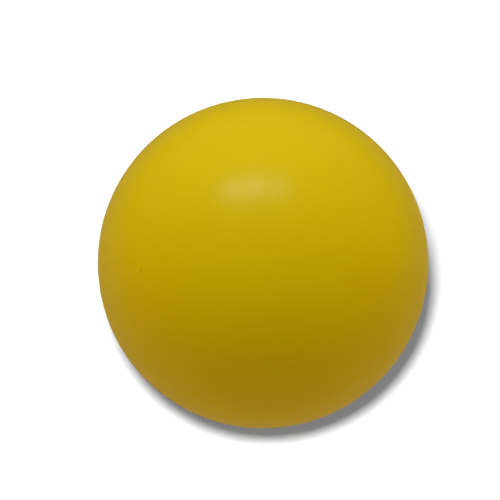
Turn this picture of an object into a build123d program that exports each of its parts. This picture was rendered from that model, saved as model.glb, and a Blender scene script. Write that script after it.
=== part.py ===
from build123d import *
from math import asin, degrees, sqrt
import os

# A smooth golf ball, of the kind made for miniature golf, built up in layers round a solid core.
# Frame: the origin is the ball's centre, and +Z is up. The ball's front is towards -Y.
# The cover's two halves meet on the level plane z = 0, and the mantle's on the upright plane y = 0,
# so that neither joint lies over the other. Sizes are in millimetres.

BALL_DIAMETER = 42.7  # a golf ball is at least 42.67 across
LACQUER_THICKNESS = 0.10  # satin colour coat
PRIMER_THICKNESS = 0.05  # white undercoat
COVER_WALL = 1.2
MANTLE_WALL = 1.2
RIM_STEP_HEIGHT = 0.8  # how far one half's tongue reaches into the other half

QUARTER_TURN = 90  # degrees

# Each layer's outer radius, from the skin inwards.
lacquer_r = BALL_DIAMETER / 2
primer_r = lacquer_r - LACQUER_THICKNESS
cover_r = primer_r - PRIMER_THICKNESS
mantle_r = cover_r - COVER_WALL
core_r = mantle_r - MANTLE_WALL


def half_shell(plane, axis, inner_r, outer_r, side):
    """Half of a hollow ball, turned about axis from a profile on plane, whose y runs along axis.

    With side 1 the half lies towards +y, and its rim carries a tongue on the inside of the wall.
    With side -1 it lies towards -y, and its rim has the groove that the tongue fills, so the two
    halves centre on each other and meet face to face.
    """
    step_r = (inner_r + outer_r) / 2
    tongue_foot_r = sqrt(inner_r**2 - RIM_STEP_HEIGHT**2)
    tongue_angle = degrees(asin(RIM_STEP_HEIGHT / inner_r))
    rim_to_pole = side * QUARTER_TURN
    with BuildPart() as shell:
        with BuildSketch(plane):
            with BuildLine():
                CenterArc((0, 0), outer_r, 0, rim_to_pole)
                CenterArc((0, 0), inner_r, -tongue_angle, rim_to_pole + tongue_angle)
                Polyline(
                    (outer_r, 0),
                    (step_r, 0),
                    (step_r, -RIM_STEP_HEIGHT),
                    (tongue_foot_r, -RIM_STEP_HEIGHT),
                )
                Line((0, side * inner_r), (0, side * outer_r))
            make_face()
        revolve(axis=axis)
    return shell


def coat(inner_r, outer_r):
    """An unbroken layer all over the ball, as a sprayed coat is."""
    with BuildPart() as layer:
        Sphere(outer_r)
        Sphere(inner_r, mode=Mode.SUBTRACT)
    return layer


os.makedirs("parts", exist_ok=True)

# The core is one solid ball of pressed rubber, ground true. It gives the weight and the bounce.
with BuildPart() as core:
    Sphere(core_r)
core.part.label = "core"
export_step(core.part, "parts/core.step")

# The mantle is a pair of half cups closed round the core from the front and the back.
mantle_front_half = half_shell(Plane.XY, Axis.Y, core_r, mantle_r, -1)
mantle_front_half.part.label = "mantle_front_half"
export_step(mantle_front_half.part, "parts/mantle_front_half.step")

mantle_back_half = half_shell(Plane.XY, Axis.Y, core_r, mantle_r, 1)
mantle_back_half.part.label = "mantle_back_half"
export_step(mantle_back_half.part, "parts/mantle_back_half.step")

# The cover is a second pair of half cups, closed over the mantle from above and below.
cover_upper_half = half_shell(Plane.XZ, Axis.Z, mantle_r, cover_r, 1)
cover_upper_half.part.label = "cover_upper_half"
export_step(cover_upper_half.part, "parts/cover_upper_half.step")

cover_lower_half = half_shell(Plane.XZ, Axis.Z, mantle_r, cover_r, -1)
cover_lower_half.part.label = "cover_lower_half"
export_step(cover_lower_half.part, "parts/cover_lower_half.step")

# Primer and lacquer are sprayed over the closed cover, so each is one unbroken skin.
primer_coat = coat(cover_r, primer_r)
primer_coat.part.label = "primer_coat"
export_step(primer_coat.part, "parts/primer_coat.step")

lacquer_coat = coat(primer_r, lacquer_r)
lacquer_coat.part.label = "lacquer_coat"
export_step(lacquer_coat.part, "parts/lacquer_coat.step")
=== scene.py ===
# %% [markdown]
# # A smooth golf ball, layer by layer
# This lesson builds the look of a smooth golf ball, the kind that is made for miniature golf, round a
# finished engineering model. That model is the frame: it gives every layer its place and its size. The
# first cell loads it and reads how large it is. Everything is in metres, and the ball's centre is the origin.

# %% Load the frame
from math import atan, cos, degrees, pi, radians, sin, sqrt, tan

import bpy
import numpy as np
from mathutils import Matrix, Vector


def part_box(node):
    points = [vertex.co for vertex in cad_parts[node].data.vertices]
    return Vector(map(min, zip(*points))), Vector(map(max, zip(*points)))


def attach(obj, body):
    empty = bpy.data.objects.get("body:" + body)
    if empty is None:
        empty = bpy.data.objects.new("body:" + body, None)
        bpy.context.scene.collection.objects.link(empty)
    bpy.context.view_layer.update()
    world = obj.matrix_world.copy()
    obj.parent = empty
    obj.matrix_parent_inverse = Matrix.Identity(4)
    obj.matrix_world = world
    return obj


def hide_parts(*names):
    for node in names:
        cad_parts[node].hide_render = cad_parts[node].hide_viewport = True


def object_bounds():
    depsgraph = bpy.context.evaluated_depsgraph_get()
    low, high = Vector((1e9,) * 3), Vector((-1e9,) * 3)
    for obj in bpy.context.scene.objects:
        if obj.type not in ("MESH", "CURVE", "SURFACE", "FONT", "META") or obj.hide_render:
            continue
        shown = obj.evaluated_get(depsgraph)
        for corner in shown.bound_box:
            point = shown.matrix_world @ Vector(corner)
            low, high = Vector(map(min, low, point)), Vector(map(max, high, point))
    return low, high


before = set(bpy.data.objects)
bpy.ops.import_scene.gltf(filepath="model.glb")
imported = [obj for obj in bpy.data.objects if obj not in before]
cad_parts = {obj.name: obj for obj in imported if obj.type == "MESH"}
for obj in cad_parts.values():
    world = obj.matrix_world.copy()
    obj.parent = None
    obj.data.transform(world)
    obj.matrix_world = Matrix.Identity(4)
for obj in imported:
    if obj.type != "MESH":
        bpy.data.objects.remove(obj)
cad_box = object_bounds()
scene = bpy.context.scene
MM = 0.001
print("frame pieces:", sorted(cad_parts))

# %% [markdown]
# ## The radii of the layers
# The ball is a core, a mantle, a cover, a primer and a lacquer, one inside the other. Each radius could be
# typed in, but then it could disagree with the frame. So it is read from the frame: half the width of a
# layer's box is its outer radius.

# %% Read the radii


def outer_radius(node):
    """Half of the width of a layer's box, which is the outer radius of the layer."""
    low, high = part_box(node)
    return (high.x - low.x) / 2


ball_r = outer_radius("lacquer_coat")
primer_r = outer_radius("primer_coat")
cover_r = outer_radius("cover_upper_half")
mantle_r = outer_radius("mantle_back_half")
core_r = outer_radius("core")
step_height = -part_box("cover_upper_half")[0].z  # how far the tongue reaches past the joint
print("radii in mm:", [round(r / MM, 2) for r in (core_r, mantle_r, cover_r, primer_r, ball_r)])

# %% [markdown]
# ## From a profile to a closed surface
# Every layer of a ball is turned: a profile runs from one end of an axis to the other, and goes once round
# it. Blender's Spin tool could turn it, but it leaves the seam and the poles to be merged. Here the points
# are worked out as one array, a function of the place along the profile and the angle round the axis, and the
# faces are joined by arrays of point numbers, so that the seam and the poles are closed from the start.

# %% Turn a profile


def towards(azimuth, elevation):
    """The unit vector at an angle round from the front, to the right, and one above the level."""
    level = cos(elevation)
    return Vector((sin(azimuth) * level, -cos(azimuth) * level, sin(elevation)))


def turned(profile, axis, columns):
    """The points of a profile turned about an axis, which starts and ends on it.

    A profile point (d, h) at angle a becomes (d cos a, d sin a, h), and +Z is then turned to the axis.
    The profile's two ends give one point each, the first and the last of all.
    """
    angle = np.arange(columns) * 2 * pi / columns
    away, height = profile[1:-1, :1], profile[1:-1, 1:]
    rings = np.stack([away * np.cos(angle), away * np.sin(angle), height + 0 * angle], -1)
    tip, tail = [[0, 0, profile[0, 1]]], [[0, 0, profile[-1, 1]]]
    to_axis = np.array(Vector(axis).to_track_quat("Z", "Y").to_matrix())
    return np.concatenate([tip, rings.reshape(-1, 3), tail]) @ to_axis.T


def turned_faces(rows, columns):
    """Quads and end triangles for the points of turned(), which has rows rings of columns points.

    A quad joins a point and its neighbour round the axis, which wraps, to the same two on the next ring.
    They face away from the axis where the profile runs from the axis's tip towards its tail.
    """
    ring, column = np.meshgrid(np.arange(rows - 1), np.arange(columns), indexing="ij")
    beside = (column + 1) % columns
    here, beyond = 1 + ring * columns, 1 + (ring + 1) * columns
    quads = np.stack([here + column, beyond + column, beyond + beside, here + beside], -1)
    first, last = 1 + np.arange(columns), 1 + (rows - 1) * columns + np.arange(columns)
    tip, tail = np.zeros(columns, int), np.full(columns, 1 + rows * columns)
    tip_cap = np.stack([tip, first, np.roll(first, -1)], -1)
    tail_cap = np.stack([tail, np.roll(last, -1), last], -1)
    return quads.reshape(-1, 4), np.concatenate([tip_cap, tail_cap])


def arc(radius, first, last, steps):
    """Profile points (radius sin a, radius cos a) on a round, for angles a from the axis's tip."""
    a = np.linspace(first, last, steps)
    return radius * np.stack([np.sin(a), np.cos(a)], -1)


small_ball = turned(arc(1, 0, pi, 5), (0, 0, 1), 8)
print("a ball of 5 profile points and 8 columns has", len(small_ball), "points")

# %% [markdown]
# ## From a surface to a piece of the ball
# A coat of paint or a half shell has an outer face and an inner one. A Solidify modifier could add the inner
# face, but then both would have the same bumps. So each face is worked out on its own, and the inner one is
# turned inside out before the two are joined. A piece then rides on the ball and takes a node's place.

# %% Make a piece
SHARP_CORNER = radians(40)  # edges that turn more than this stay crisp


def two_walls(outer, inner):
    """One set of points and faces for a hollow layer, with the inner wall's faces turned to face inwards."""
    (out_points, (out_quads, out_caps)), (in_points, (in_quads, in_caps)) = outer, inner
    shift = len(out_points)
    quads = np.concatenate([out_quads, in_quads[:, ::-1] + shift])
    caps = np.concatenate([out_caps, in_caps[:, ::-1] + shift])
    return np.concatenate([out_points, in_points]), (quads, caps)


def make_piece(name, node, slot, points, faces, material):
    """A smooth mesh that stands for a node of the frame, rides on the ball and takes the material given.

    The slot argument is not used.
    It prints the volume, the sum of a . (b x c) / 6 over all triangles, which is positive when they face out.
    """
    quads, caps = faces
    mesh = bpy.data.meshes.new(name)
    mesh.from_pydata(points.tolist(), [], quads.tolist() + caps.tolist())
    mesh.polygons.foreach_set("use_smooth", np.ones(len(mesh.polygons), bool))
    mesh.set_sharp_from_angle(angle=SHARP_CORNER)
    mesh.materials.append(material)
    piece = bpy.data.objects.new(name, mesh)
    scene.collection.objects.link(piece)
    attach(piece, "root")
    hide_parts(node)
    triangles = np.concatenate([caps, quads[:, [0, 1, 2]], quads[:, [0, 2, 3]]])
    a, b, c = points[triangles].transpose(1, 0, 2)
    volume = (a * np.cross(b, c)).sum() / 6
    print(f"{name}: {len(triangles)} triangles, {volume / MM**3:.0f} cubic mm")


print("edges stay crisp past", round(degrees(SHARP_CORNER)), "degrees")

# %% [markdown]
# ## Relief that no hand could draw
# Sprayed lacquer, ground rubber and moulded plastic are never quite even. A noise texture moves only the
# light, while a mesh needs numbers for its points. A sum of many cosine waves in random directions gives a
# smooth unevenness for a whole array of points, and a fixed seed gives the same one each time. It depends
# only on the place, so where two layers touch, both faces move together and still meet.

# %% Random waves
SHORTEST_WAVE, LONGEST_WAVE = 0.7, 1.6  # in wavelengths
MOULD_RIPPLE = 0.002 * MM
RIPPLE_WAVELENGTH = 4 * MM


def waves(points, wavelength, seed, count=96):
    """Unevenness with a spread of 1, as a sum of cosines that run in random directions.

    Each one is cos(2 pi (direction . point) / length + phase), with a random length about the wavelength.
    Dividing the sum by the square root of half their count makes its spread 1.
    """
    random = np.random.default_rng(seed)
    directions = random.normal(size=(count, 3))
    directions /= np.linalg.norm(directions, axis=1, keepdims=True)
    lengths = wavelength * random.uniform(SHORTEST_WAVE, LONGEST_WAVE, count)
    phases = random.uniform(0, 2 * pi, count)
    total = np.zeros(len(points))
    for direction, length, phase in zip(directions, lengths, phases):
        total += np.cos(2 * pi * (points @ direction) / length + phase)
    return total / sqrt(count / 2)


def moved_out(points, height):
    """Points moved away from the ball's centre by a height each."""
    distance = np.linalg.norm(points, axis=1)
    return points * (1 + height / distance)[:, None]


def rippled(points):
    """Points moved out by the slight ripple that a mould leaves."""
    return moved_out(points, MOULD_RIPPLE * waves(points, RIPPLE_WAVELENGTH, seed=7))


print("spread of the waves on a small ball:", round(waves(small_ball, 1, seed=7).std(), 2))

# %% [markdown]
# ## Node groups that several finishes share
# Every finish on this ball has two things in common: its colour is a little patchy, and its skin has a
# fine grain. Each could be wired afresh in each material. Built once as a node group with inputs of its
# own, it leaves a finish only to say how patchy and how grainy it is. Both groups read Object
# coordinates, which stay with the ball when it moves.

# %% Shared node groups
PATCH_DETAIL = 4
GRAIN_DETAIL = 3


def new_group(name, inputs, outputs):
    """A shader node group with named sockets, and its input and output nodes."""
    group = bpy.data.node_groups.new(name, "ShaderNodeTree")
    for socket, kind in inputs:
        group.interface.new_socket(socket, in_out="INPUT", socket_type=kind)
    for socket, kind in outputs:
        group.interface.new_socket(socket, in_out="OUTPUT", socket_type=kind)
    return group, group.nodes.new("NodeGroupInput"), group.nodes.new("NodeGroupOutput")


def object_noise(tree, scale, detail):
    """A noise texture on Object coordinates, with its scale from a socket."""
    where = tree.nodes.new("ShaderNodeTexCoord")
    noise = tree.nodes.new("ShaderNodeTexNoise")
    noise.inputs["Detail"].default_value = detail
    tree.links.new(where.outputs["Object"], noise.inputs["Vector"])
    tree.links.new(scale, noise.inputs["Scale"])
    return noise.outputs["Fac"]


def build_patchy():
    """Colour that drifts between two shades in soft patches, and the mask that drives it."""
    group, given, result = new_group(
        "patchy",
        [
            ("Shade", "NodeSocketColor"),
            ("Deep Shade", "NodeSocketColor"),
            ("Patches Per Metre", "NodeSocketFloat"),
        ],
        [("Color", "NodeSocketColor"), ("Mask", "NodeSocketFloat")],
    )
    mask = object_noise(group, given.outputs["Patches Per Metre"], PATCH_DETAIL)
    mix = group.nodes.new("ShaderNodeMix")
    mix.data_type = "RGBA"
    group.links.new(mask, mix.inputs["Factor"])
    group.links.new(given.outputs["Shade"], mix.inputs["A"])
    group.links.new(given.outputs["Deep Shade"], mix.inputs["B"])
    group.links.new(mix.outputs["Result"], result.inputs["Color"])
    group.links.new(mask, result.inputs["Mask"])
    return group


def build_fine_grain():
    """The height of a fine grain, in metres."""
    group, given, result = new_group(
        "fine_grain",
        [("Grains Per Metre", "NodeSocketFloat"), ("Depth", "NodeSocketFloat")],
        [("Height", "NodeSocketFloat")],
    )
    noise = object_noise(group, given.outputs["Grains Per Metre"], GRAIN_DETAIL)
    deepen = group.nodes.new("ShaderNodeMath")
    deepen.operation = "MULTIPLY"
    group.links.new(noise, deepen.inputs[0])
    group.links.new(given.outputs["Depth"], deepen.inputs[1])
    group.links.new(deepen.outputs[0], result.inputs["Height"])
    return group


patchy = build_patchy()
fine_grain = build_fine_grain()
print("shared groups:", patchy.name, fine_grain.name)

# %% [markdown]
# ## One way to wire a finish
# Paint, plastic and rubber differ in colour, patches, shine and grain, but not in how those are wired. The
# patchy colour goes to the shader's colour, its mask moves the roughness a little, and the grain's height
# goes through a Bump node. So one function wires them all, and a finish can add more to what it returns.

# %% A finish


def new_finish(name, shade, deep_shade, patch, roughness, grain, depth, specular=0.5):
    """A material with patchy colour, roughness that drifts with the patches, and a fine grain.

    patch and grain are the sizes of each, and depth is the grain's, all in metres. roughness is a pair,
    from the smoothest patch to the roughest.
    """
    material = bpy.data.materials.new(name)
    material.use_nodes = True
    tree = material.node_tree
    shader = tree.nodes["Principled BSDF"]
    shader.inputs["Specular IOR Level"].default_value = specular
    colour = tree.nodes.new("ShaderNodeGroup")
    colour.node_tree = patchy
    colour.inputs["Shade"].default_value = (*shade, 1)
    colour.inputs["Deep Shade"].default_value = (*deep_shade, 1)
    colour.inputs["Patches Per Metre"].default_value = 1 / patch
    height = tree.nodes.new("ShaderNodeGroup")
    height.node_tree = fine_grain
    height.inputs["Grains Per Metre"].default_value = 1 / grain
    height.inputs["Depth"].default_value = depth
    shine = tree.nodes.new("ShaderNodeMapRange")
    shine.inputs["To Min"].default_value, shine.inputs["To Max"].default_value = roughness
    bump = tree.nodes.new("ShaderNodeBump")
    bump.inputs["Distance"].default_value = 1
    tree.links.new(colour.outputs["Color"], shader.inputs["Base Color"])
    tree.links.new(colour.outputs["Mask"], shine.inputs["Value"])
    tree.links.new(shine.outputs["Result"], shader.inputs["Roughness"])
    tree.links.new(height.outputs["Height"], bump.inputs["Height"])
    tree.links.new(bump.outputs["Normal"], shader.inputs["Normal"])
    return material


# %% [markdown]
# ## Marks that fade out
# The painted shade in a pit and the painted shade on a floor both fade with the distance from one place. Each
# could be painted as a picture, but a formula stays sharp at any size. One helper gives the distance, and
# another fades over it.

# %% Distance and fade


def distance_from(tree, place):
    """How far each point of a surface is from a place, in Object coordinates."""
    where = tree.nodes.new("ShaderNodeTexCoord")
    distance = tree.nodes.new("ShaderNodeVectorMath")
    distance.operation = "DISTANCE"
    distance.inputs[1].default_value = place
    tree.links.new(where.outputs["Object"], distance.inputs[0])
    return distance.outputs["Value"]


def ramp(tree, value, start, end, low, high):
    """A smooth change from low to high while a socket's value goes from start to end."""
    node = tree.nodes.new("ShaderNodeMapRange")
    node.interpolation_type = "SMOOTHSTEP"
    for name, number in [("From Min", start), ("From Max", end), ("To Min", low), ("To Max", high)]:
        node.inputs[name].default_value = number
    tree.links.new(value, node.inputs["Value"])
    return node.outputs["Result"]


# %% [markdown]
# ## The lacquer's skin
# The lacquer is the only layer that shows. It is a satin yellow coat, sprayed on and left to flow out,
# which leaves it almost perfectly round with a hint of orange peel. One tiny pit, where a bubble burst, lies
# to the left of the middle. A subdivided ball could carry it, but its faces are far wider than the pit.
# Here the axis that the skin is turned about runs through the pit, where the lines crowd together, so the
# smallest feature gets the finest mesh and the rest stays light.

# %% Shape the lacquer
PIT_DIRECTION = towards(radians(-58.5), radians(38.5))
PIT_RADIUS = 0.36 * MM
PIT_DEPTH = 0.03 * MM
PIT_ZONE = 4  # how far its fine rings reach, in pit radii
PIT_RINGS = 26
LIP_HEIGHT = 0.004 * MM
LIP_MIDDLE, LIP_WIDTH = 1.4, 0.35  # in pit radii
PEEL_HEIGHT = 0.0012 * MM
PEEL_WAVELENGTH = 1.6 * MM
PEEL_ALLOWANCE = 5.5 * PEEL_HEIGHT  # keeps the highest peaks inside the frame
SKIN_RINGS = 196
SKIN_COLUMNS = 360


def skin_height(points):
    """How far the skin stands off its mean ball: a bowl for the pit, a lip round it, and orange peel.

    With q the distance from the pit over its radius, the bowl is -depth (1 - q^2)^2 where q is under 1, and
    the lip is the bell curve height exp(-((q - middle) / width)^2). The peel fades away at the pit.
    """
    q = np.linalg.norm(points - np.array(PIT_DIRECTION) * ball_r, axis=1) / PIT_RADIUS
    bowl = -PIT_DEPTH * np.clip(1 - q**2, 0, None) ** 2
    lip = LIP_HEIGHT * np.exp(-(((q - LIP_MIDDLE) / LIP_WIDTH) ** 2))
    peel = PEEL_HEIGHT * np.clip(q - 1, 0, 1) * waves(points, PEEL_WAVELENGTH, seed=4)
    return bowl + lip + peel


def shape_skin():
    """The lacquer's outer face: fine rings across the pit, and even ones over the rest of the ball."""
    zone_edge = PIT_ZONE * PIT_RADIUS / ball_r
    mean_r = ball_r - PEEL_ALLOWANCE
    fine_rings = arc(mean_r, 0, zone_edge, PIT_RINGS)
    even_rings = arc(mean_r, zone_edge, pi, SKIN_RINGS)[1:]
    profile = np.concatenate([fine_rings, even_rings])
    points = turned(profile, PIT_DIRECTION, SKIN_COLUMNS)
    return moved_out(points, skin_height(points)), turned_faces(len(profile) - 2, SKIN_COLUMNS)


skin = shape_skin()
skin_radii = np.linalg.norm(skin[0], axis=1)
print("highest point from the centre, mm:", round(skin_radii.max() / MM, 4))
print("bottom of the pit from the centre, mm:", round(skin_radii[0] / MM, 4))

# %% [markdown]
# ## The faces between the layers
# Inside, a coat lies on the face of the layer below. A sprayed face is plain, and a moulded one has the
# mould's ripple. Each could be copied from the layer below. Here both sides come from one function instead,
# so they agree.

# %% Shape the inner faces
WALL_COLUMNS = 180


def shape_wall(radius, from_mould=False):
    """A round face between two layers, plain where it was sprayed and rippled where it was moulded."""
    profile = arc(radius, 0, pi, WALL_COLUMNS // 2 + 1)
    points = turned(profile, (0, 0, 1), WALL_COLUMNS)
    return rippled(points) if from_mould else points, turned_faces(len(profile) - 2, WALL_COLUMNS)


lacquer_points, lacquer_faces = two_walls(skin, shape_wall(primer_r))
print("points in the lacquer:", len(lacquer_points))

# %% [markdown]
# ## The lacquer's finish
# Satin lacquer is opaque yellow pigment under a binder that shines softly. Its shade drifts so little that
# it is felt more than seen. Its rough binder scatters light at a grazing angle, so the ball keeps its yellow
# right up to its outline, and a little sheen in the same yellow does that here. The pit is painted darker, as
# painted shade in its hollow. A picture could be wrapped round the ball for it, but it would stretch at the
# poles. Here the colour darkens with the distance to the middle of the pit, read from Object coordinates.

# %% Paint the lacquer
YELLOW = (0.82, 0.58, 0.001)
DEEP_YELLOW = (0.80, 0.56, 0.001)
# painted shade: the pit's colour darkens towards its middle, standing for the shade in the hollow
PIT_SHADE_YELLOW = (0.52, 0.35, 0.001)
PIT_SHADE_STRENGTH = 0.40
PIT_SHADE_REACH = 1.3 * PIT_RADIUS
SHEEN_WEIGHT = 0.42
SHEEN_ROUGHNESS = 0.35


def paint_lacquer():
    """The satin yellow finish, with painted shade in the pit that fades out just past its rim."""
    material = new_finish(
        "satin_yellow_lacquer", YELLOW, DEEP_YELLOW, patch=7 * MM,
        roughness=(0.27, 0.31), grain=0.3 * MM, depth=0.0003 * MM, specular=0.3,
    )
    tree = material.node_tree
    shader = tree.nodes["Principled BSDF"]
    shader.inputs["Sheen Weight"].default_value = SHEEN_WEIGHT
    shader.inputs["Sheen Roughness"].default_value = SHEEN_ROUGHNESS
    shader.inputs["Sheen Tint"].default_value = (*YELLOW, 1)
    colour_outside_pit_shade = shader.inputs["Base Color"].links[0].from_socket
    # painted shade in the pit: the colour darkens with the distance to the pit's middle
    from_pit = distance_from(tree, PIT_DIRECTION * ball_r)
    mix = tree.nodes.new("ShaderNodeMix")
    mix.data_type = "RGBA"
    mix.inputs["B"].default_value = (*PIT_SHADE_YELLOW, 1)
    tree.links.new(ramp(tree, from_pit, 0, PIT_SHADE_REACH, PIT_SHADE_STRENGTH, 0), mix.inputs["Factor"])
    tree.links.new(colour_outside_pit_shade, mix.inputs["A"])
    tree.links.new(mix.outputs["Result"], shader.inputs["Base Color"])
    return material


make_piece("lacquer_skin", "lacquer_coat", "lacquer", lacquer_points, lacquer_faces, paint_lacquer())

# %% [markdown]
# ## Primer
# Under the lacquer lies a thin white primer, matt and a little chalky, so that the yellow comes out even.
# It could be a copy of the lacquer made smaller, but then the pit would come with it. So it is a hollow ball
# of its own: its outer face is plain, and its inner face follows the ripple of the moulded cover.

# %% Make the primer
primer_finish = new_finish(
    "chalky_white_primer", (0.82, 0.81, 0.77), (0.74, 0.73, 0.68), patch=3 * MM,
    roughness=(0.75, 0.9), grain=0.12 * MM, depth=0.002 * MM, specular=0.3,
)
make_piece(
    "primer_skin", "primer_coat", "primer",
    *two_walls(shape_wall(primer_r), shape_wall(cover_r, from_mould=True)), primer_finish,
)

# %% [markdown]
# ## Half shells
# The cover and the mantle are each pressed as two half cups and closed round the layer below. The rim of
# one half has a tongue and the other a groove, which centre them on each other. A solid ball could be cut
# in two with a Boolean, but the rim is simpler to draw as part of the profile: down the outer face, across
# the stepped rim, and back up the inner face.

# %% Shape the half shells
SHELL_COLUMNS = 200
WALL_RINGS = 60


def shape_half_shell(inner_r, outer_r, axis, inner_rim):
    """Half a shell towards axis. inner_rim is the height of the rim's inner part along the axis.

    It is below zero for a tongue and above zero for a groove. The rim's step is halfway through the wall.
    """
    step_r = (inner_r + outer_r) / 2
    rim_angle = pi / 2 - np.arcsin(inner_rim / inner_r)
    rim = [(step_r, 0), (step_r, inner_rim)]
    outer_face = arc(outer_r, 0, pi / 2, WALL_RINGS)
    inner_face = arc(inner_r, rim_angle, 0, WALL_RINGS)
    profile = np.concatenate([outer_face, rim, inner_face])
    points = rippled(turned(profile, axis, SHELL_COLUMNS))
    return points, turned_faces(len(profile) - 2, SHELL_COLUMNS)


cover_finish = new_finish(
    "moulded_yellow_plastic", (0.78, 0.60, 0.05), (0.72, 0.54, 0.04), patch=5 * MM,
    roughness=(0.35, 0.5), grain=0.2 * MM, depth=0.001 * MM,
)
mantle_finish = new_finish(
    "milky_ionomer", (0.72, 0.72, 0.66), (0.66, 0.66, 0.58), patch=6 * MM,
    roughness=(0.25, 0.4), grain=0.3 * MM, depth=0.0008 * MM,
)
UP, DOWN, FRONT, BACK = (0, 0, 1), (0, 0, -1), (0, -1, 0), (0, 1, 0)
cover = "cover_plastic", mantle_r, cover_r, cover_finish
mantle = "mantle_plastic", core_r, mantle_r, mantle_finish
half_shells = [
    ("cover_upper", "cover_upper_half", cover, UP, -step_height),
    ("cover_lower", "cover_lower_half", cover, DOWN, step_height),
    ("mantle_front", "mantle_front_half", mantle, FRONT, step_height),
    ("mantle_back", "mantle_back_half", mantle, BACK, -step_height),
]
for name, node, (slot, inner_r, outer_r, finish), axis, inner_rim in half_shells:
    make_piece(name, node, slot, *shape_half_shell(inner_r, outer_r, axis, inner_rim), finish)

# %% [markdown]
# ## The core
# The core is a solid ball of pressed rubber, full of filler and ground to size, so it is dull, dark and
# speckled. An Ico Sphere would do for its shape, but its face has to meet the rippled inner face of the
# mantle. So it is turned like the rest, as one face with nothing inside it, and takes the same ripple.

# %% Make the core
core_finish = new_finish(
    "ground_rubber", (0.05, 0.12, 0.16), (0.09, 0.18, 0.22), patch=0.8 * MM,
    roughness=(0.7, 0.9), grain=0.15 * MM, depth=0.006 * MM, specular=0.3,
)
make_piece("rubber_core", "core", "core_rubber", *shape_wall(core_r, from_mould=True), core_finish)

# %% [markdown]
# ## What the camera sees and what the ball feels
# The ball lies in a white studio. A real white floor throws so much light back that the ball's underside
# goes flat, and dark cards are set up to hold that in check. Cards would need careful placing here too, and
# would show in the shine. The Light Path node does the same with less trouble: a surface can look white to
# the camera and still send the ball only as much light as is wanted.

# %% Ways to wire the stage


def new_tree(owner):
    """The owner's node tree, emptied but for its output node, and that node's Surface socket."""
    owner.use_nodes = True
    tree = owner.node_tree
    for node in [n for n in tree.nodes if not n.bl_idname.startswith("ShaderNodeOutput")]:
        tree.nodes.remove(node)
    return tree, next(iter(tree.nodes)).inputs["Surface"]


def seen_and_unseen(tree, seen, unseen, surface):
    """Joins one shader for the camera and another for all other light to the surface."""
    path = tree.nodes.new("ShaderNodeLightPath")
    mix = tree.nodes.new("ShaderNodeMixShader")
    tree.links.new(path.outputs["Is Camera Ray"], mix.inputs["Fac"])
    tree.links.new(unseen, mix.inputs[1])
    tree.links.new(seen, mix.inputs[2])
    tree.links.new(mix.outputs["Shader"], surface)


def math_chain(tree, value, steps):
    """Puts a socket's value through a row of Math nodes, given as (operation, second number)."""
    for operation, number in steps:
        node = tree.nodes.new("ShaderNodeMath")
        node.operation = operation
        node.inputs[1].default_value = number
        tree.links.new(value, node.inputs[0])
        value = node.outputs[0]
    return value


# %% [markdown]
# ## The floor
# The ball rests on a pale, seamless floor that carries its soft shadow. A plain white material would take its
# brightness from all the lights at once, and would be hard to keep white. So what the camera sees is put
# together from two parts. One glows by itself and carries painted shade: dim near the ball, darkest where the
# ball touches down as a painted contact shadow, and full white further out. The other is a faint paint that
# only the shadow lamp lights, and brings the rest.

# %% Paint the floor
floor_level = cad_box[0].z
SHADE_GLOW = 0.205  # what is left in the full shadow
SHADE_PAINT = 0.02
# painted shade: to the camera the floor's glow is dim near the ball and darkest where it touches down
FADE_START, FADE_END = 1.5 * ball_r, 2.5 * ball_r
CONTACT_REACH, PAINTED_CONTACT_SHADE = 0.7 * ball_r, 0.2
BOUNCE_GLOW, BOUNCE_REACH = 0.115, 8 * ball_r


def paint_floor():
    """White with a soft shadow to the camera, partly painted as shade in its glow, and a dim glow to
    everything else.

    The dim glow at a distance r from where the ball rests is glow / (1 + (r / reach)^2).
    """
    material = bpy.data.materials.new("pale_floor")
    tree, surface = new_tree(material)
    distance = distance_from(tree, (0, 0, floor_level))

    # painted shade: the camera's glow is dim near the ball and darker still at the contact, a painted contact
    # shadow
    shade = tree.nodes.new("ShaderNodeEmission")
    painted_floor_shade = tree.nodes.new("ShaderNodeMath")
    painted_floor_shade.operation = "MULTIPLY"
    tree.links.new(ramp(tree, distance, FADE_START, FADE_END, SHADE_GLOW, 1), painted_floor_shade.inputs[0])
    tree.links.new(ramp(tree, distance, 0, CONTACT_REACH, PAINTED_CONTACT_SHADE, 1), painted_floor_shade.inputs[1])
    tree.links.new(painted_floor_shade.outputs[0], shade.inputs["Strength"])
    paint = tree.nodes.new("ShaderNodeBsdfDiffuse")
    paint.inputs["Color"].default_value = (SHADE_PAINT, SHADE_PAINT, SHADE_PAINT, 1)
    seen = tree.nodes.new("ShaderNodeAddShader")
    tree.links.new(shade.outputs[0], seen.inputs[0])
    tree.links.new(paint.outputs[0], seen.inputs[1])

    bounce = tree.nodes.new("ShaderNodeEmission")
    falling = [("DIVIDE", BOUNCE_REACH), ("POWER", 2), ("ADD", 1), ("POWER", -1), ("MULTIPLY", BOUNCE_GLOW)]
    tree.links.new(math_chain(tree, distance, falling), bounce.inputs["Strength"])
    seen_and_unseen(tree, seen.outputs[0], bounce.outputs[0], surface)
    material.cycles.emission_sampling = "NONE"
    return material


floor_paint = paint_floor()
print("floor finish:", floor_paint.name)

# %% [markdown]
# ## Flat sheets for the stage
# The floor is one flat face, far wider than the view, so no edge of it shows. A Plane from the Add menu would
# do, but it would have to be sized and moved. From its corners, the mesh lies where it should at once.

# %% Lay the floor
FLOOR_HALF_WIDTH = 3.0
SQUARE = [(-1, -1), (1, -1), (1, 1), (-1, 1)]


def make_stage_sheet(name, level, corners, material):
    """A level sheet through corners (x, y), which belongs to the stage and not to the ball."""
    mesh = bpy.data.meshes.new(name)
    mesh.from_pydata([(x, y, level) for x, y in corners], [], [range(len(corners))])
    mesh.materials.append(material)
    sheet = bpy.data.objects.new(name, mesh)
    scene.collection.objects.link(sheet)
    return sheet


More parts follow.
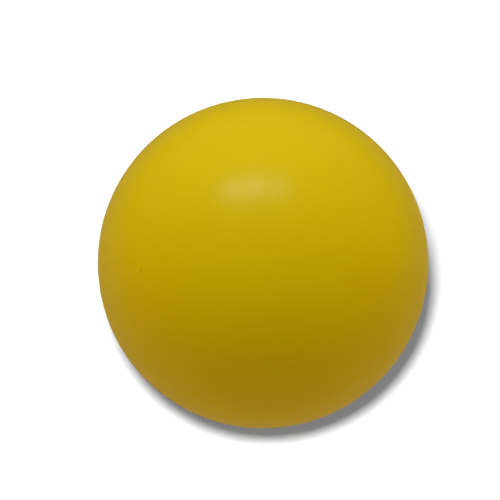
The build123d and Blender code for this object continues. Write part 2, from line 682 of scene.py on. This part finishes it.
floor_corners = [(FLOOR_HALF_WIDTH * x, FLOOR_HALF_WIDTH * y) for x, y in SQUARE]
floor = make_stage_sheet("floor", floor_level, floor_corners, floor_paint)
print("floor at", round(floor_level / MM, 2), "mm")

# %% [markdown]
# ## The room
# The studio's walls are white and far away. Walls could be built, but a world shader does without them. It is
# white to the camera, while the ball sees a dim glow that is brighter behind it than in front.

# %% Room
BACK_GLOW, FRONT_GLOW = 0.16, 0.02


def paint_room():
    """A world that is white to the camera, and to the ball a dim glow that is brighter behind it."""
    world = bpy.data.worlds.new("room")
    tree, surface = new_tree(world)
    seen = tree.nodes.new("ShaderNodeBackground")
    seen.inputs["Color"].default_value = (1, 1, 1, 1)
    where = tree.nodes.new("ShaderNodeTexCoord")
    direction = tree.nodes.new("ShaderNodeSeparateXYZ")
    fade = tree.nodes.new("ShaderNodeMapRange")
    fade.inputs["To Min"].default_value = FRONT_GLOW
    fade.inputs["To Max"].default_value = BACK_GLOW
    glow = tree.nodes.new("ShaderNodeBackground")
    glow.inputs["Color"].default_value = (1, 1, 1, 1)
    tree.links.new(where.outputs["Generated"], direction.inputs["Vector"])
    tree.links.new(direction.outputs["Y"], fade.inputs["Value"])
    tree.links.new(fade.outputs["Result"], glow.inputs["Strength"])
    seen_and_unseen(tree, seen.outputs[0], glow.outputs[0], surface)
    return world


scene.world = paint_room()
scene.view_settings.view_transform = "Standard"
print("world:", scene.world.name)

# %% [markdown]
# ## A lamp by its brightness on the ball
# Studio lamps are set by eye or with a light meter. In Blender an area light's strength is a power in watts,
# which says little, because the same power looks fainter from a larger or more distant lamp. So the power
# is worked out here from the brightness that the lamp should give the ball.

# %% Lamps
LIGHT_DISTANCE = 2.0


def make_light(name, shape, size, area, radiance, place, direction, in_gloss):
    """An area light that shines against direction, so it is aimed back from where it stands.

    radiance is red, green and blue. A lamp of area A and power P has a radiance of P / (pi A).
    """
    light = bpy.data.lights.new(name, "AREA")
    light.shape = shape
    light.size = size
    strongest = max(radiance)
    light.color = [c / strongest for c in radiance]
    light.energy = pi * area * strongest
    light.cycles.use_multiple_importance_sampling = in_gloss
    lamp = bpy.data.objects.new(name, light)
    lamp.location = place
    lamp.rotation_mode = "QUATERNION"
    lamp.rotation_quaternion = direction.to_track_quat("Z", "Y")
    lamp.visible_camera = False
    lamp.visible_glossy = in_gloss
    scene.collection.objects.link(lamp)
    return lamp


def soft_light(name, direction, spread, glow, in_gloss=False, distance=LIGHT_DISTANCE):
    """A round lamp in a direction from the ball, whose half width spans an angle of spread.

    glow is the brightness that it alone gives white paint that faces it, which is radiance sin(spread)^2.
    """
    radius = distance * tan(spread)
    radiance = [c / sin(spread) ** 2 for c in glow]
    place = direction * distance
    return make_light(name, "DISK", 2 * radius, pi * radius**2, radiance, place, direction, in_gloss)


print("lamps stand", LIGHT_DISTANCE, "m away unless they say otherwise")

# %% [markdown]
# ## Soft light from above and from the sides
# Most of the light comes from a wide ceiling panel above the ball and a little behind it, with a weaker soft
# box on each side and a very weak one in front. The boxes are warmer than the panel, so the yellow leans to
# orange as it turns away. One sky could light it all, but separate lamps can each be set on their own.
# As reflections such wide lamps would veil the whole top of the ball, so they are left out of the gloss.

# %% Soft lights
SOFT_LIGHTS = [  # name, degrees round from the front and above the level, half width in degrees, glow
    ("ceiling_panel", 0, 106.5, 33, (0.54, 0.595, 0.60)),
    ("left_box", -110, 15, 30, (0.17, 0.13, 0.12)),
    ("right_box", 110, 15, 30, (0.145, 0.095, 0.085)),
    ("front_box", 0, 15, 30, (0.065, 0.015, 0.015)),
]
for name, azimuth, elevation, spread, glow in SOFT_LIGHTS:
    soft_light(name, towards(radians(azimuth), radians(elevation)), radians(spread), glow)
print("soft lights:", [row[0] for row in SOFT_LIGHTS])

# %% [markdown]
# ## Light thrown back by the floor
# The pale floor lights the ball from below, as the glow of a whole white table would. The floor's own shader
# could send that light, but rays would find it by chance and leave grain. A wide light that faces up from
# under the floor gives the same glow evenly. Only the ball can block it, and a dark sheet hidden under the
# ball, put there as shade: it stands for the floor's own shade where the ball touches down.

# %% Table light
TABLE_SIDE = 4.0
TABLE_DEPTH = 0.06  # below the floor
TABLE_GLOW = (0.76, 0.655, 0.60)
SHADE_SHEET_RADIUS = 0.6 * ball_r
SHADE_SHEET_CORNERS = 48
SHADE_SHEET_DEPTH = 0.05 * MM  # below the floor

table_place = (0, 0, floor_level - TABLE_DEPTH)
table_light = make_light(
    "table_light", "SQUARE", TABLE_SIDE, TABLE_SIDE**2, TABLE_GLOW, table_place, Vector((0, 0, -1)), False
)
blockers = bpy.data.collections.new("blocks_table_light")
for piece in [o for o in scene.objects if o.type == "MESH" and o is not floor]:
    blockers.objects.link(piece)
round_the_shade_sheet = np.arange(SHADE_SHEET_CORNERS) * 2 * pi / SHADE_SHEET_CORNERS
shade_sheet_corners = (SHADE_SHEET_RADIUS * np.stack([np.cos(round_the_shade_sheet), np.sin(round_the_shade_sheet)], -1)).tolist()
# a dark sheet put in as shade: it holds back the table light where the ball touches down
blockers.objects.link(make_stage_sheet("contact_shade_sheet", floor_level - SHADE_SHEET_DEPTH, shade_sheet_corners, floor_paint))
table_light.light_linking.blocker_collection = blockers

# %% [markdown]
# ## The highlight
# Near the top the lacquer shows one soft highlight, faintly broken in three, as a row of three lamps would
# leave it. The middle lamp is the brightest, and a dim, wide one behind the row adds a faint haze. They are
# the only lamps in the gloss, so the highlight has their size, and the lacquer's roughness blurs it. Painting
# a white spot on the ball would be simpler, but it would turn with the ball, and a reflection stays in place.

# %% Lamps in a row
LAMP_SPACING = radians(14.4)
LAMP_LEAN = radians(21.5)
ROW_MIDDLE = radians(-5.0)
LAMP_SPREAD = radians(3.2)
LAMP_GLOWS = [0.047, 0.052, 0.030]
HAZE_SPREAD = radians(17)
HAZE_GLOW = 0.011


def over_the_top(across):
    """The direction that leans back over the ball by the row's lean, and to the right by an angle."""
    return Vector((tan(across), tan(LAMP_LEAN), 1)).normalized()


for i, lamp_glow in enumerate(LAMP_GLOWS):
    lamp_direction = over_the_top(ROW_MIDDLE + (i - 1) * LAMP_SPACING)
    soft_light(f"row_lamp_{i + 1}", lamp_direction, LAMP_SPREAD, (lamp_glow,) * 3, in_gloss=True)
soft_light("haze_lamp", over_the_top(0), HAZE_SPREAD, (HAZE_GLOW,) * 3, in_gloss=True)
print("lamps in the row:", len(LAMP_GLOWS))

# %% [markdown]
# ## The shadow
# The shadow is soft and short: a thin crescent that shows below the ball and to its right. The wide panel
# could cast it, but only as a vague darkening all round. So a small lamp stands close by, a little higher
# than the camera and to its left. It is taller than it is wide, so the shadow's edge is softer below the ball
# than beside it. Light linking lets it fall on the floor alone, and it leaves the ball be.

# %% Shadow lamp
SHADOW_LAMP_DIRECTION = towards(radians(-6.9), radians(67.2))
SHADOW_LAMP_DISTANCE = 7.5 * ball_r
SHADOW_LAMP_SPREAD = radians(3.7)
SHADOW_LAMP_WIDTH, SHADOW_LAMP_HEIGHT = 0.75, 1.1  # shares of that spread
SHADOW_LAMP_GLOW = 1.35 / SHADE_PAINT  # more than enough to bring open floor to white
shadow_lamp = soft_light(
    "shadow_lamp", SHADOW_LAMP_DIRECTION, SHADOW_LAMP_SPREAD, (SHADOW_LAMP_GLOW,) * 3,
    distance=SHADOW_LAMP_DISTANCE,
)
shadow_lamp.data.shape = "ELLIPSE"
shadow_lamp.data.size_y = SHADOW_LAMP_HEIGHT * shadow_lamp.data.size
shadow_lamp.data.size *= SHADOW_LAMP_WIDTH
only_floor = bpy.data.collections.new("lit_by_shadow_lamp")
only_floor.objects.link(floor)
shadow_lamp.light_linking.receiver_collection = only_floor

# %% [markdown]
# ## The camera
# The camera looks down at the ball from the front with a portrait lens. It could be moved by hand until the
# ball fills enough of the frame. It is surer to work out its distance from the share of the frame that the
# ball fills: a ball of radius r at distance d spans an angle whose sine is r / d. The ball sits a little
# right of and below the middle, so the camera is turned a little to the left and up.

# %% Camera
CAMERA_ELEVATION = radians(60)
BALL_SHARE = 0.6613  # of the frame's width
OFF_CENTRE = radians(0.62)
PORTRAIT_LENS = 85
NEAREST = 0.01  # the camera is close to the ball, so things this near still show

camera_data = bpy.data.cameras.new("camera")
camera_data.lens = PORTRAIT_LENS
camera_data.clip_start = NEAREST
half_view = camera_data.sensor_width / 2 / camera_data.lens
distance = ball_r / sin(atan(BALL_SHARE * half_view))
camera = bpy.data.objects.new("camera", camera_data)
back = towards(0, CAMERA_ELEVATION)
camera.location = back * distance
camera.rotation_mode = "QUATERNION"
turn = Matrix.Rotation(OFF_CENTRE, 3, "Y") @ Matrix.Rotation(OFF_CENTRE, 3, "X")
camera.rotation_quaternion = back.to_track_quat("Z", "Y") @ turn.to_quaternion()
scene.collection.objects.link(camera)
scene.camera = camera
print("camera at", round(distance / MM, 1), "mm")

# %% [markdown]
# ## The frame's size
# The look is meant to stay inside its frame. It could be checked by eye, but a peak of the orange peel is far
# too small to see. So the frame's box is printed here, in millimetres, its lowest corner first.

# %% Print the frame's box
print("CAD box", [round(v / MM, 3) for c in cad_box for v in c])
